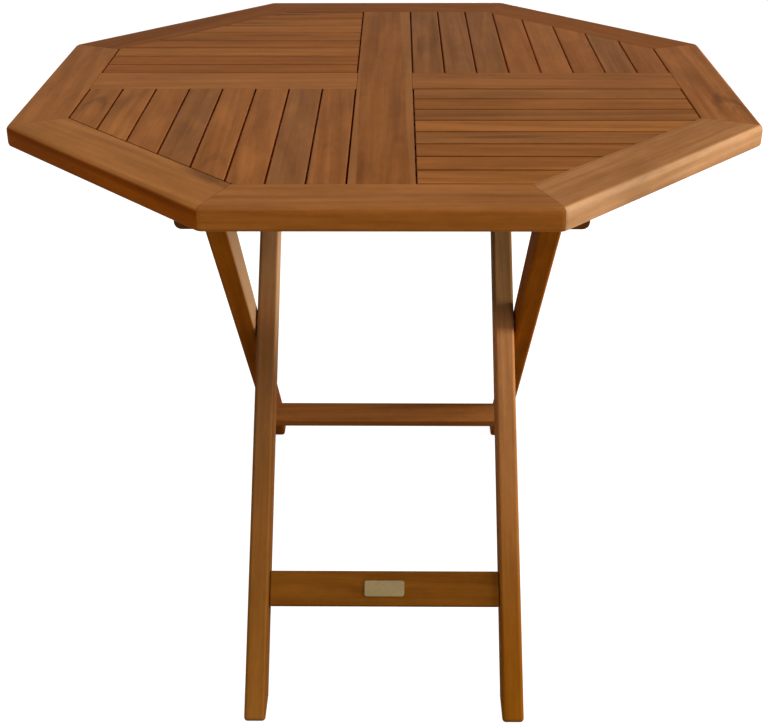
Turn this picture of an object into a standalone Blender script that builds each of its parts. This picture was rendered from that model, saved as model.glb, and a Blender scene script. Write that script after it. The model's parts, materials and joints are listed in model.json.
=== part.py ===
"""A folding garden table: an octagonal slatted teak top on two crossing leg frames.

Metres, +Z up. The origin is on the floor, under the middle of the top. The front is at -Y.
The outer frame turns on bolts under the front of the top, and its feet stand at the back. The
inner frame turns on the outer one where the legs cross: its feet stand at the front, and its
top bar lies under the catch rail at the back.
"""

import math

import bmesh
import bpy
from mathutils import Vector

# The whole table
TOP_WIDTH = 0.900
TABLE_HEIGHT = 0.750
FIT_GAP = 0.0003

# The octagonal rim and the boards inside it
RIM_WIDTH = 0.068
BOARD_THICKNESS = 0.027
CORNER_RADIUS = 0.012
CENTRE_BOARD_WIDTH = 0.072
CROSS_RAIL_WIDTH = 0.072
LIP_REACH = 0.005

# The slats of one quadrant
SLATS_PER_QUADRANT = 8
SLAT_THICKNESS = 0.018
SLAT_GAP = 0.0022
OPEN_END_GAP = 0.0020
TONGUE_THICKNESS = 0.007
NARROWEST_TONGUE = 0.006

# The battens, cleats and catch rail under the top
BATTEN_LENGTH = 0.442
BATTEN_WIDTH = 0.045
BATTEN_THICKNESS = 0.023
BATTEN_SETBACK = 0.064
BATTEN_CORNER_RADIUS = 0.008
CLEAT_THICKNESS = 0.022
CLEAT_DEPTH = 0.025
CLEAT_EAR_RADIUS = 0.021
CLEAT_EAR_FOOT = 0.034
CATCH_LENGTH = 0.296
CATCH_WIDTH = 0.060
CATCH_NOTCH_DEPTH = 0.005

# The legs, measured along their middle line
UPPER_LEG = 0.378
LOWER_LEG = 0.532
LEG_WIDTH = 0.028
LEG_DEPTH = 0.040
FOOT_CORNER_RADIUS = 0.005
HINGE_DROP = 0.045
INNER_FRAME_WIDTH = 0.364
FRAME_SPACING = 0.002
CLEAT_SPACING = 0.001

# The cross pieces of the leg frames
INNER_RAIL_UP_LEG = 0.157
INNER_RAIL_WIDTH = 0.046
INNER_RAIL_THICKNESS = 0.020
INNER_RAIL_SETBACK = 0.006
TOP_BAR_RADIUS = 0.014
STRETCHER_UP_LEG = 0.195
STRETCHER_WIDTH = 0.028
STRETCHER_THICKNESS = 0.032
PLATE_LENGTH = 0.053
PLATE_WIDTH = 0.021
PLATE_THICKNESS = 0.001
PLATE_CORNER_RADIUS = 0.003

# The bolts
BOLT_RADIUS = 0.004
BOLT_CLEARANCE = 0.0003
BOLT_HEAD_RADIUS = 0.008
BOLT_HEAD_HEIGHT = 0.0035
BOLT_TIP_GAP = 0.0005
BLIND_WALL = 0.005

# Roundness of arcs and turned pieces
ARC_STEPS = 6
ROUND_SIDES = 24
BAR_SIDES = 32

# Worked out from the sizes above
HALF_WIDTH = TOP_WIDTH / 2
INNER_HALF = HALF_WIDTH - RIM_WIDTH
CENTRE_HALF = CENTRE_BOARD_WIDTH / 2
CROSS_HALF = CROSS_RAIL_WIDTH / 2
UNDERSIDE = TABLE_HEIGHT - BOARD_THICKNESS
LIP_TOP = TABLE_HEIGHT - SLAT_THICKNESS - FIT_GAP
EIGHTH = math.radians(45)
MITRE = math.radians(22.5)
LEG_LENGTH = UPPER_LEG + LOWER_LEG
HINGE_HEIGHT = UNDERSIDE - HINGE_DROP
LEAN = math.asin(HINGE_HEIGHT / LEG_LENGTH)
HINGE_Y = -UPPER_LEG * math.cos(LEAN)
PIVOT_HEIGHT = LOWER_LEG * math.sin(LEAN)
BATTEN_FRONT = HALF_WIDTH - BATTEN_SETBACK
BATTEN_BACK = BATTEN_FRONT - BATTEN_WIDTH
INNER_LEG_IN = INNER_FRAME_WIDTH / 2 - LEG_WIDTH
INNER_LEG_OUT = INNER_FRAME_WIDTH / 2
OUTER_LEG_IN = INNER_LEG_OUT + FRAME_SPACING
OUTER_LEG_OUT = OUTER_LEG_IN + LEG_WIDTH
CLEAT_IN = OUTER_LEG_OUT + CLEAT_SPACING
CLEAT_OUT = CLEAT_IN + CLEAT_THICKNESS
HOLE_RADIUS = BOLT_RADIUS + BOLT_CLEARANCE

SIDES = (("left", -1), ("right", 1))
TEAK_TONES = (
    (0.30, 0.145, 0.055),
    (0.27, 0.125, 0.045),
    (0.33, 0.165, 0.065),
    (0.25, 0.110, 0.038),
    (0.31, 0.150, 0.060),
)


def clear_scene():
    for obj in list(bpy.data.objects):
        bpy.data.objects.remove(obj, do_unlink=True)


def finish_material(name, colour, roughness, metallic=0.0):
    material = bpy.data.materials.new(name)
    material.use_nodes = True
    shader = material.node_tree.nodes["Principled BSDF"]
    shader.inputs["Base Color"].default_value = (*colour, 1.0)
    shader.inputs["Roughness"].default_value = roughness
    shader.inputs["Metallic"].default_value = metallic
    material.diffuse_color = (*colour, 1.0)
    return material


def teak(name):
    """A teak of its own for one board, one of a few tones chosen by the name's letters."""
    tone = TEAK_TONES[sum(map(ord, name)) % len(TEAK_TONES)]
    return finish_material(f"{name}_teak", tone, 0.55)


def brass(name):
    return finish_material(f"{name}_brass", (0.55, 0.42, 0.22), 0.35, 1.0)


def plate_metal(name):
    return finish_material(f"{name}_metal", (0.36, 0.26, 0.15), 0.45, 0.8)


def add_object(name, bm, material, parent):
    """An object from a bmesh, with its origin at the middle of its points."""
    bmesh.ops.recalc_face_normals(bm, faces=bm.faces)
    low = Vector(min(v.co[i] for v in bm.verts) for i in range(3))
    high = Vector(max(v.co[i] for v in bm.verts) for i in range(3))
    middle = (low + high) / 2
    bmesh.ops.translate(bm, verts=bm.verts, vec=-middle)
    mesh = bpy.data.meshes.new(name)
    bm.to_mesh(mesh)
    bm.free()
    if material:
        mesh.materials.append(material)
    obj = bpy.data.objects.new(name, mesh)
    obj.location = middle
    obj.parent = parent
    bpy.context.scene.collection.objects.link(obj)
    return obj


def add_empty(name, location, turn_x=0.0):
    empty = bpy.data.objects.new(name, None)
    empty.location = location
    empty.rotation_euler = (turn_x, 0, 0)
    empty.empty_display_size = 0.05
    bpy.context.scene.collection.objects.link(empty)
    return empty


def prism(outline, axis, low, high):
    """A bmesh of a flat outline drawn out along an axis. The outline holds the other two, in order."""
    bm = bmesh.new()
    rings = []
    for depth in (low, high):
        ring = []
        for a, b in outline:
            place = {"x": (depth, a, b), "y": (a, depth, b), "z": (a, b, depth)}[axis]
            ring.append(bm.verts.new(place))
        rings.append(ring)
        bm.faces.new(ring)
    for first, second in zip(range(len(outline)), [*range(1, len(outline)), 0]):
        bm.faces.new((rings[0][first], rings[0][second], rings[1][second], rings[1][first]))
    return bm


def turned(profile, sides):
    """A bmesh of a shape turned about the X axis, from (x, radius) pairs."""
    bm = bmesh.new()
    rings = []
    for x, radius in profile:
        angles = [2 * math.pi * k / sides for k in range(sides)]
        rings.append([bm.verts.new((x, radius * math.cos(a), radius * math.sin(a))) for a in angles])
    for ring, following in zip(rings, rings[1:]):
        for k in range(sides):
            after = (k + 1) % sides
            bm.faces.new((ring[k], ring[after], following[after], following[k]))
    bm.faces.new(rings[0])
    bm.faces.new(rings[-1])
    return bm


def arc(centre, radius, start, end, steps=ARC_STEPS):
    """Points on an arc from one angle to another, both ends included."""
    angles = [start + (end - start) * k / steps for k in range(steps + 1)]
    return [(centre[0] + radius * math.cos(a), centre[1] + radius * math.sin(a)) for a in angles]


def round_corner(before, corner, after, radius):
    """Points that round one corner of an outline."""
    corner = Vector(corner)
    to_before = (Vector(before) - corner).normalized()
    to_after = (Vector(after) - corner).normalized()
    half = to_before.angle(to_after) / 2
    centre = corner + (to_before + to_after).normalized() * radius / math.sin(half)
    start = corner + to_before * radius / math.tan(half) - centre
    turn = -start.angle_signed(corner + to_after * radius / math.tan(half) - centre)
    first = math.atan2(start.y, start.x)
    return arc(centre, radius, first, first + turn)


def rounded_outline(points, radii):
    """An outline whose corners with a radius are rounded."""
    outline = []
    for k, (point, radius) in enumerate(zip(points, radii)):
        if radius:
            outline += round_corner(points[k - 1], point, points[(k + 1) % len(points)], radius)
        else:
            outline.append(point)
    return outline


def bore(obj, cutter):
    cut = obj.modifiers.new(f"{cutter.name}_bore", "BOOLEAN")
    cut.operation = "DIFFERENCE"
    cut.object = cutter
    cut.solver = "EXACT"


def bore_cutter(name, inner_x, outer_x, y, z, parent):
    """A helper that cuts a bolt's hole between two places along X."""
    bm = turned([(inner_x, HOLE_RADIUS), (outer_x, HOLE_RADIUS)], ROUND_SIDES)
    bmesh.ops.translate(bm, verts=bm.verts, vec=(0, y, z))
    cutter = add_object(name, bm, None, parent)
    cutter.hide_render = True
    cutter.display_type = "WIRE"
    return cutter


def add_rim(top):
    """Eight mitred boards. Each is drawn as the front board and turned to its place."""
    corner_middle = (HALF_WIDTH - CORNER_RADIUS) / math.cos(MITRE)
    joint = FIT_GAP / 2 / math.cos(MITRE)
    centre = (corner_middle * math.sin(MITRE), -corner_middle * math.cos(MITRE))
    right_corner = arc(centre, CORNER_RADIUS, -math.pi / 2, -math.pi / 2 + MITRE, 3)
    last = right_corner[-1]
    right_corner[-1] = (last[0] - joint, last[1])
    inner_corner = (INNER_HALF * math.tan(MITRE) - joint, -INNER_HALF)
    right_half = [*right_corner, inner_corner]
    outline = right_half + [(-x, y) for x, y in reversed(right_half)]
    names = ("front", "front_right", "right", "back_right", "back", "back_left", "left", "front_left")
    for k, place in enumerate(names):
        name = f"rim_{place}"
        board = add_object(name, prism(outline, "z", UNDERSIDE, TABLE_HEIGHT), teak(name), top)
        board.rotation_euler = (0, 0, k * EIGHTH)
        middle = board.location
        board.location = (-middle.y * math.sin(k * EIGHTH), middle.y * math.cos(k * EIGHTH), middle.z)


def add_cross(top):
    """The centre board, front to back, and the two cross rails that meet it.

    A lip along each side of the centre board lies under the slats beside it, and closes the gap
    to them from below. The rails' ends are notched over the lips.
    """
    end = INNER_HALF - FIT_GAP
    lip = CENTRE_HALF + LIP_REACH
    right = [(lip, UNDERSIDE), (lip, LIP_TOP), (CENTRE_HALF, LIP_TOP), (CENTRE_HALF, TABLE_HEIGHT)]
    outline = right + [(-x, z) for x, z in reversed(right)]
    add_object("centre_board", prism(outline, "y", -end, end), teak("centre_board"), top)
    near = CENTRE_HALF + FIT_GAP
    notch = lip + FIT_GAP
    notch_top = LIP_TOP + FIT_GAP
    rail = [(notch, UNDERSIDE), (end, UNDERSIDE), (end, TABLE_HEIGHT), (near, TABLE_HEIGHT)]
    rail += [(near, notch_top), (notch, notch_top)]
    for side, sign in SIDES:
        name = f"cross_rail_{side}"
        bm = prism([(sign * x, z) for x, z in rail], "y", -CROSS_HALF, CROSS_HALF)
        add_object(name, bm, teak(name), top)


def cut_by_diagonal(low, high, limit):
    """The rectangle between two corners, cut where x + y passes a limit."""
    corners = [low, (high[0], low[1]), high, (low[0], high[1])]
    outline = []
    for k, point in enumerate(corners):
        following = corners[(k + 1) % 4]
        over = point[0] + point[1] - limit
        next_over = following[0] + following[1] - limit
        if over <= 0:
            outline.append(point)
        if over * next_over < 0:
            share = over / (over - next_over)
            outline.append(tuple(a + (b - a) * share for a, b in zip(point, following)))
    return outline


def add_tongue(bm, face, along, gap):
    """A tongue on a slat's open end. It stops a fit's gap short of what the end faces."""
    shoulder = (SLAT_THICKNESS - TONGUE_THICKNESS) / 2
    bmesh.ops.inset_region(bm, faces=[face], thickness=shoulder, use_even_offset=True)
    reach = (gap - FIT_GAP) / abs(face.normal.dot(along))
    step = along * reach * math.copysign(1, face.normal.dot(along))
    grown = bmesh.ops.extrude_face_region(bm, geom=[face])["geom"]
    bmesh.ops.translate(bm, verts=[v for v in grown if isinstance(v, bmesh.types.BMVert)], vec=step)
    bmesh.ops.delete(bm, geom=[face], context="FACES")


def add_tongues(bm, along, open_faces):
    """Tongues on the end faces that look along one of the open directions."""
    bmesh.ops.recalc_face_normals(bm, faces=bm.faces)
    least = SLAT_THICKNESS - TONGUE_THICKNESS + NARROWEST_TONGUE
    for face in list(bm.faces):
        for direction, gap in open_faces:
            width = face.calc_area() / SLAT_THICKNESS
            if face.normal.dot(direction) > 0.99 and width > least:
                add_tongue(bm, face, along, gap)
                break


def add_quadrant(top, place, side, end, along, cross_gap, centre_gap, end_gap, side_gap, diagonal_gap):
    """The slats of one quadrant, worked out for x and y both positive and then mirrored.

    along says which way they run. A gap wider than a fit's has the slats' tongues in it.
    """
    low = (CENTRE_HALF + centre_gap, CROSS_HALF + cross_gap)
    high = (INNER_HALF - side_gap, INNER_HALF - end_gap)
    limit = (INNER_HALF - diagonal_gap) * math.sqrt(2)
    across = 0 if along == "y" else 1
    pitch = (high[across] - low[across] + SLAT_GAP) / SLATS_PER_QUADRANT
    run = Vector((0, 1, 0)) if along == "y" else Vector((1, 0, 0))
    slant = Vector((side, end, 0)).normalized()
    ways = [(slant, diagonal_gap)]
    if along == "y":
        ways += [(Vector((0, end, 0)), end_gap), (Vector((0, -end, 0)), cross_gap)]
    else:
        ways += [(Vector((side, 0, 0)), side_gap), (Vector((-side, 0, 0)), centre_gap)]
    open_faces = [(way, gap) for way, gap in ways if gap > FIT_GAP]
    for k in range(SLATS_PER_QUADRANT):
        first = list(low)
        last = list(high)
        first[across] = low[across] + k * pitch
        last[across] = first[across] + pitch - SLAT_GAP
        outline = [(side * x, end * y) for x, y in cut_by_diagonal(tuple(first), tuple(last), limit)]
        bm = prism(outline, "z", TABLE_HEIGHT - SLAT_THICKNESS, TABLE_HEIGHT)
        add_tongues(bm, run, open_faces)
        name = f"slat_{place}_{k + 1}"
        add_object(name, bm, teak(name), top)


def add_slats(top):
    """Slats run front to back in two quadrants, and left to right in the other two."""
    tight = FIT_GAP
    add_quadrant(top, "front_left", -1, -1, "y", tight, SLAT_GAP, tight, SLAT_GAP, OPEN_END_GAP)
    add_quadrant(top, "back_right", 1, 1, "y", tight, SLAT_GAP, tight, SLAT_GAP, tight)
    add_quadrant(top, "back_left", -1, 1, "x", SLAT_GAP, OPEN_END_GAP, SLAT_GAP, OPEN_END_GAP, tight)
    add_quadrant(top, "front_right", 1, -1, "x", SLAT_GAP, OPEN_END_GAP, SLAT_GAP, OPEN_END_GAP, tight)


def add_battens(top):
    """Two left-to-right battens that hold the boards of the top together."""
    half = BATTEN_LENGTH / 2
    high = UNDERSIDE - FIT_GAP
    low = high - BATTEN_THICKNESS
    for place, sign in (("front", -1), ("back", 1)):
        name = f"batten_{place}"
        corners = [(-half, low), (half, low), (half, high), (-half, high)]
        radii = (BATTEN_CORNER_RADIUS, BATTEN_CORNER_RADIUS, 0, 0)
        near, far = sorted((sign * BATTEN_BACK, sign * BATTEN_FRONT))
        bm = prism(rounded_outline(corners, radii), "y", near, far)
        add_object(name, bm, teak(name), top)


def add_cleats(top, hinge_cutters):
    """Front-to-back cleats beside the outer legs. An ear on each carries a hinge bolt."""
    high = UNDERSIDE - FIT_GAP
    low = high - CLEAT_DEPTH
    end = BATTEN_BACK - FIT_GAP
    ear = arc((HINGE_Y, HINGE_HEIGHT), CLEAT_EAR_RADIUS, math.pi, 2 * math.pi, 2 * ARC_STEPS)
    ear = [(HINGE_Y - CLEAT_EAR_FOOT, low), *ear, (HINGE_Y + CLEAT_EAR_FOOT, low)]
    outline = [(-end, high), (-end, low), *ear, (end, low), (end, high)]
    for (side, sign), cutter in zip(SIDES, hinge_cutters):
        name = f"hinge_cleat_{side}"
        inner, outer = sorted((sign * CLEAT_IN, sign * CLEAT_OUT))
        cleat = add_object(name, prism(outline, "x", inner, outer), teak(name), top)
        bore(cleat, cutter)


def add_catch_rail(top):
    """The rail that rests on the inner frame's top bar, with a shallow round notch over it."""
    high = UNDERSIDE - FIT_GAP
    low = HINGE_HEIGHT + TOP_BAR_RADIUS + FIT_GAP
    radius = TOP_BAR_RADIUS + FIT_GAP
    middle = low + CATCH_NOTCH_DEPTH - radius
    opening = math.asin((low - middle) / radius)
    notch = arc((-HINGE_Y, middle), radius, math.pi - opening, opening, 2 * ARC_STEPS)
    near = -HINGE_Y - CATCH_WIDTH / 2
    far = near + CATCH_WIDTH
    outline = [(near, high), (near, low), *notch, (far, low), (far, high)]
    bm = prism(outline, "x", -CATCH_LENGTH / 2, CATCH_LENGTH / 2)
    add_object("catch_rail", bm, teak("catch_rail"), top)


def leg_outline(above, origin_height, cut_side):
    """A leg seen from the side, along its own line: (along, across), the foot at the far end.

    above is the length behind the origin. The foot is cut level with the floor, and cut_side
    says towards which side of the leg that cut runs longer.
    """
    half = LEG_DEPTH / 2

    def foot(across):
        return (origin_height + cut_side * across * math.cos(LEAN)) / math.sin(LEAN)

    corners = [(-above, -half), (foot(-half), -half), (foot(half), half), (-above, half)]
    foot_end = rounded_outline(corners, (0, FOOT_CORNER_RADIUS, FOOT_CORNER_RADIUS, 0))[1:-1]
    return foot_end + arc((-above, 0), half, math.pi / 2, 3 * math.pi / 2, 2 * ARC_STEPS)


def add_bolt(name, tip, seat, sign, y, z, parent):
    """A domed bolt along X: its head lies on the seat, and its tip ends inside the wood."""
    head = seat + FIT_GAP
    profile = [
        (tip, BOLT_RADIUS),
        (head, BOLT_RADIUS),
        (head, BOLT_HEAD_RADIUS),
        (head + BOLT_HEAD_HEIGHT / 2, BOLT_HEAD_RADIUS),
        (head + BOLT_HEAD_HEIGHT, BOLT_HEAD_RADIUS / 2),
    ]
    bm = turned([(sign * x, radius) for x, radius in profile], ROUND_SIDES)
    bmesh.ops.translate(bm, verts=bm.verts, vec=(0, y, z))
    add_object(name, bm, brass(name), parent)


def pivot_cutters(pivot_y, pivot_z, parent, label):
    """Helpers for the crossing bolts' holes: blind in the inner legs, right through the outer."""
    start = INNER_LEG_IN + BLIND_WALL
    stop = OUTER_LEG_OUT + BLIND_WALL
    cutters = []
    for side, sign in SIDES:
        name = f"pivot_cutter_{label}_{side}"
        cutters.append(bore_cutter(name, sign * start, sign * stop, pivot_y, pivot_z, parent))
    return cutters


def add_outer_frame(frame, hinge_cutters):
    """Legs from the hinge to the back feet, with a stretcher lying on their lower side."""
    outline = leg_outline(0.0, HINGE_HEIGHT, 1)
    crossing = pivot_cutters(UPPER_LEG, 0.0, frame, "outer")
    for k, (side, sign) in enumerate(SIDES):
        name = f"outer_leg_{side}"
        inner, outer = sorted((sign * OUTER_LEG_IN, sign * OUTER_LEG_OUT))
        leg = add_object(name, prism(outline, "x", inner, outer), teak(name), frame)
        bore(leg, crossing[k])
        bore(leg, hinge_cutters[k])
        tip = INNER_LEG_IN + BLIND_WALL + BOLT_TIP_GAP
        add_bolt(f"cross_bolt_{side}", tip, OUTER_LEG_OUT, sign, UPPER_LEG, 0.0, frame)
    middle = LEG_LENGTH - STRETCHER_UP_LEG
    face = -LEG_DEPTH / 2 - FIT_GAP
    low, high = middle - STRETCHER_WIDTH / 2, middle + STRETCHER_WIDTH / 2
    outline = [(low, face - STRETCHER_THICKNESS), (high, face - STRETCHER_THICKNESS), (high, face), (low, face)]
    bm = prism(outline, "x", -OUTER_LEG_OUT, OUTER_LEG_OUT)
    add_object("outer_stretcher", bm, teak("outer_stretcher"), frame)


def add_inner_frame(frame):
    """Legs from the top bar to the front feet, with a rail between them that carries a plate."""
    outline = leg_outline(UPPER_LEG, PIVOT_HEIGHT, -1)
    crossing = pivot_cutters(0.0, 0.0, frame, "inner")
    for k, (side, sign) in enumerate(SIDES):
        name = f"inner_leg_{side}"
        inner, outer = sorted((sign * INNER_LEG_IN, sign * INNER_LEG_OUT))
        leg = add_object(name, prism(outline, "x", inner, outer), teak(name), frame)
        bore(leg, crossing[k])
    reach = INNER_LEG_IN - FIT_GAP
    middle = LOWER_LEG - INNER_RAIL_UP_LEG
    low, high = middle - INNER_RAIL_WIDTH / 2, middle + INNER_RAIL_WIDTH / 2
    front = -LEG_DEPTH / 2 + INNER_RAIL_SETBACK
    back = front + INNER_RAIL_THICKNESS
    outline = [(low, front), (high, front), (high, back), (low, back)]
    add_object("inner_rail", prism(outline, "x", -reach, reach), teak("inner_rail"), frame)
    bar = turned([(-reach, TOP_BAR_RADIUS), (reach, TOP_BAR_RADIUS)], BAR_SIDES)
    bmesh.ops.translate(bar, verts=bar.verts, vec=(0, -UPPER_LEG, 0))
    add_object("inner_top_bar", bar, teak("inner_top_bar"), frame)
    add_name_plate(frame, middle, front - FIT_GAP)


def add_name_plate(frame, middle, face):
    """A bare metal plate on the front of the inner rail."""
    half_length, half_width = PLATE_LENGTH / 2, PLATE_WIDTH / 2
    corners = [
        (-half_length, middle - half_width),
        (half_length, middle - half_width),
        (half_length, middle + half_width),
        (-half_length, middle + half_width),
    ]
    outline = rounded_outline(corners, [PLATE_CORNER_RADIUS] * 4)
    bm = prism(outline, "z", face - PLATE_THICKNESS, face)
    add_object("name_plate", bm, plate_metal("name_plate"), frame)


def main():
    clear_scene()
    top = add_empty("tabletop", (0, 0, 0))
    outer_frame = add_empty("top_hinge_axis", (0, HINGE_Y, HINGE_HEIGHT), -LEAN)
    inner_frame = add_empty("cross_pivot_axis", (0, 0, PIVOT_HEIGHT), math.pi + LEAN)
    hinge_cutters = [
        bore_cutter(f"hinge_cutter_{side}", sign * (OUTER_LEG_IN - BLIND_WALL),
                    sign * (CLEAT_OUT + BLIND_WALL), HINGE_Y, HINGE_HEIGHT, top)
        for side, sign in SIDES
    ]
    add_rim(top)
    add_cross(top)
    add_slats(top)
    add_battens(top)
    add_cleats(top, hinge_cutters)
    add_catch_rail(top)
    for side, sign in SIDES:
        tip = OUTER_LEG_IN + BOLT_TIP_GAP
        add_bolt(f"hinge_bolt_{side}", tip, CLEAT_OUT, sign, HINGE_Y, HINGE_HEIGHT, top)
    add_outer_frame(outer_frame, hinge_cutters)
    add_inner_frame(inner_frame)


main()
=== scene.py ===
import json
import math
import random

import bmesh
import bpy
from mathutils import Matrix, Vector


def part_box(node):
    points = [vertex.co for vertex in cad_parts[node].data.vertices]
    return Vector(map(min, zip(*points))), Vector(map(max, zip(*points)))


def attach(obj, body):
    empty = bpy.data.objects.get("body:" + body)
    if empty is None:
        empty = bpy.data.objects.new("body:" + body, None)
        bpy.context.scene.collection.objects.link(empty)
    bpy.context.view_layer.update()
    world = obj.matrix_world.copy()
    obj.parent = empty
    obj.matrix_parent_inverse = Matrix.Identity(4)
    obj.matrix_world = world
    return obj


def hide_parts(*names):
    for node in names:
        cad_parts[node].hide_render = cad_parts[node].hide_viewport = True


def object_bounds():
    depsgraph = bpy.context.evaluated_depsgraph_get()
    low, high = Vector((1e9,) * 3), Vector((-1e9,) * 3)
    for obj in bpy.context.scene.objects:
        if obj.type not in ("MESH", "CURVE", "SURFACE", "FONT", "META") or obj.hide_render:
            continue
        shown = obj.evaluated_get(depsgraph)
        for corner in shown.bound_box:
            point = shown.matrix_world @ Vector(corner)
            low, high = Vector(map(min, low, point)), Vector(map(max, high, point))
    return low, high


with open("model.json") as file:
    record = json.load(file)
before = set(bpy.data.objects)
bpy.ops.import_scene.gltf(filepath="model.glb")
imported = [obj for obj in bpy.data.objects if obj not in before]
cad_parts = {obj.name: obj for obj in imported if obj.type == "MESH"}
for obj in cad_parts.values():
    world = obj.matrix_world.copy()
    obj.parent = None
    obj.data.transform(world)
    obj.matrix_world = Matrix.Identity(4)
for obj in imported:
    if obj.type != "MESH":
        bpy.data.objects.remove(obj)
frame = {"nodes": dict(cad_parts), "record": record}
CAD_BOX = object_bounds()

# The photograph's frame, and the camera fitted to the table's outline in it
IMAGE_WIDTH = 768
IMAGE_HEIGHT = 726
SENSOR_WIDTH = 36.0
FOCAL_PIXELS = 1294.8
AXIS_X = 382.53
AXIS_Y = 283.0
CAMERA_PLACE = (0.0163, -1.6547, 1.2344)
CAMERA_YAW = 0.01225
CAMERA_PITCH = 0.43986
CAMERA_ROLL = -0.00390
CLIP_START = 0.05

# The light that comes from all round, and the lamps: place, target, size and power
AMBIENT = (0.35, 0.32, 0.28)
LAMPS = {
    "key": ((2.7, -0.45, 1.20), (0, 0, 0.45), 1.3, 100),
    "overhead": ((-0.5, -1.2, 2.8), (0, 0, 0.6), 1.6, 26),
    "fill": ((0.65, -2.9, 0.75), (0, 0, 0.4), 0.8, 18),
    "behind": ((0.4, 2.6, 0.40), (0, 0, 0.45), 0.5, 26),
}

# The floor: how far it reaches, its drop below the feet, its colour for the light that it throws
# back, and its colour in shadow and its glow as they are seen
FLOOR_REACH = 20
FLOOR_DROP = 0.0005
FLOOR_BOUNCE = (0.30, 0.28, 0.26, 1)
FLOOR_SHADED = (0.33, 0.33, 0.33, 1)
FLOOR_GLOW = 0.90

# The wood's patterns: features per metre along the grain, across it and through the board, then
# the noise's detail and roughness, and the share of the board's seed that sets its place
PATTERNS = {
    "warp_side": ((2.2, 9.0, 9.0), 2.0, 0.5, 1.0),
    "warp_deep": ((3.1, 12.0, 12.0), 2.0, 0.5, 1.0),
    "fibre": ((22.0, 900.0, 900.0), 3.0, 0.65, 1.9),
    "pores": ((95.0, 1700.0, 1700.0), 1.0, 0.5, 2.3),
    "cloud": ((9.0, 34.0, 34.0), 4.0, 0.6, 1.3),
    "blotch": ((38.0, 105.0, 105.0), 3.0, 0.6, 4.7),
    "line": ((3.4, 240.0, 200.0), 3.0, 0.6, 5.3),
    "streak": ((2.2, 75.0, 60.0), 2.0, 0.5, 2.9),
    "haze": ((5.0, 17.0, 17.0), 2.0, 0.5, 3.7),
    "edge": ((26.0, 60.0, 60.0), 3.0, 0.6, 4.1),
}

# How an offset in a pattern is shared out over its three axes
OFFSET_SHARES = (1.0, 0.7, 1.3)

# The values of the noise at which a pattern begins and is full
PATTERN_RANGES = {
    "pores": (0.60, 0.70),
    "streak": (0.50, 0.74),
    "haze": (0.35, 0.68),
}

# The growth rings: how many fine ones lie in one, how dark the fine ones are, the ranges of their
# noise, the shares of the seed that set them in place, and what sets the two warps apart
FINE_RINGS = 3.0
FINE_RING_DEPTH = 0.30
RING_RANGE = (0.30, 0.70)
FINE_RING_RANGE = (0.50, 0.78)
RING_SEED_SHARE = 3.1
FINE_RING_SEED_SHARE = 5.7
WARP_APART = 7.3

# The latewood's colour as shares of the pale wood's, and how much the fine patterns show. The
# lines are bolder on the front right rim board
LATEWOOD = (0.58, 0.50, 0.36)
PORE_DEPTH = 0.12
BLOTCH_AMOUNT = 0.30
FIBRE_AMOUNT = 0.22
LINE_AMOUNT = 0.42
BOLD_LINE_AMOUNT = 0.60

# The clouds and arches: how ragged they are, what one of strength 1 takes from the tone, and the
# distances at which they begin and are full: from a cloud's middle, from an arch's line, and
# along an arch towards its tip
FIGURE_RAGGED = 0.9
FIGURE_DEPTH = 0.45
CLOUD_RANGE = (1.25, 0.25)
ARCH_RANGE = (0.30, 0.0)
TIP_RANGE = (-0.2, 0.7)

# The painted highlight on the left legs' right sides, where the light from the right falls on them
# high up: its colour, the heights between which it comes in, and the painted shade on those sides below it
RIGHT_SIDE_HIGHLIGHT = (0.50, 0.29, 0.145)
RIGHT_HIGHLIGHT_LOW = 0.32
RIGHT_HIGHLIGHT_HIGH = 0.44
LOW_SIDE_PAINTED_SHADE = (0.66, 0.60, 0.50)

# The strips of sapwood along the centre board: their colour and how much of it they take, how
# ragged and how soft their edges are, and each side's widths at the front and the back end
STRIP_COLOUR = (0.50, 0.26, 0.10)
STRIP_SHARE = 0.13
STRIP_RAGGED = 0.002
STRIP_RANGE = (-0.0008, 0.0010)
STRIP_WIDTHS = {1: (0.0094, -0.0026), -1: (0.0058, 0.0150)}

# Painted shade in the gaps between boards: how the wood's colour shifts down in them, and the depths
# at which the shift begins and is full: on walls that face left or right, and on walls that face the
# front or the back. The last depths are those at which it ends again, above the boards' undersides
SIDEWAYS_GAP_SHADE = (1.7, 0.66, 0.55)
SIDEWAYS_GAP_DEPTHS = (0.0006, 0.0028)
FRONTAL_GAP_SHADE = (0.34, 0.16, 0.12)
FRONTAL_GAP_DEPTHS = (0.0001, 0.0011)
GAP_FLOOR_DEPTHS = (0.019, 0.015)

# The heights at which the tint towards the feet, partly damp and partly painted shade, begins and is
# full, and those of the painted light and shade on the legs' upper parts
DAMP_AND_SHADE_HEIGHTS = (0.50, 0.04)
HIGH_PAINTED_LIGHT_HEIGHTS = (0.385, 0.43)

# The parts of a normal between which a face comes to count as one that doesn't look straight
# down, as a gap's wall, as one that looks right or sideways, and as end grain
NOT_DOWN = (-0.95, -0.75)
GAP_WALL = (-0.7, -0.3)
RIGHT_FACING = (0.30, 0.75)
SIDEWAYS_FACING = (0.35, 0.75)
END_FACING = (0.60, 0.95)

# The same for a face that looks inwards: its normal's dot product with its place, in metres
INWARD_FACING = (0.02, -0.02)

# The end grain's tint, and the gloss of the oiled top and of the drier legs and rails
END_GRAIN_TINT = (0.58, 0.52, 0.47)
TOP_GLOSS = 0.012
DRY_GLOSS = 0.001

# The wood's roughness, what fibres and end grain add to it, how far the pores sink among the
# fibres, and the strength and height of the relief
ROUGHNESS = 0.42
FIBRE_ROUGHNESS = 0.20
END_ROUGHNESS = 0.15
PORE_HEIGHT = -0.6
WOOD_RELIEF = (0.35, 0.0003)

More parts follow.
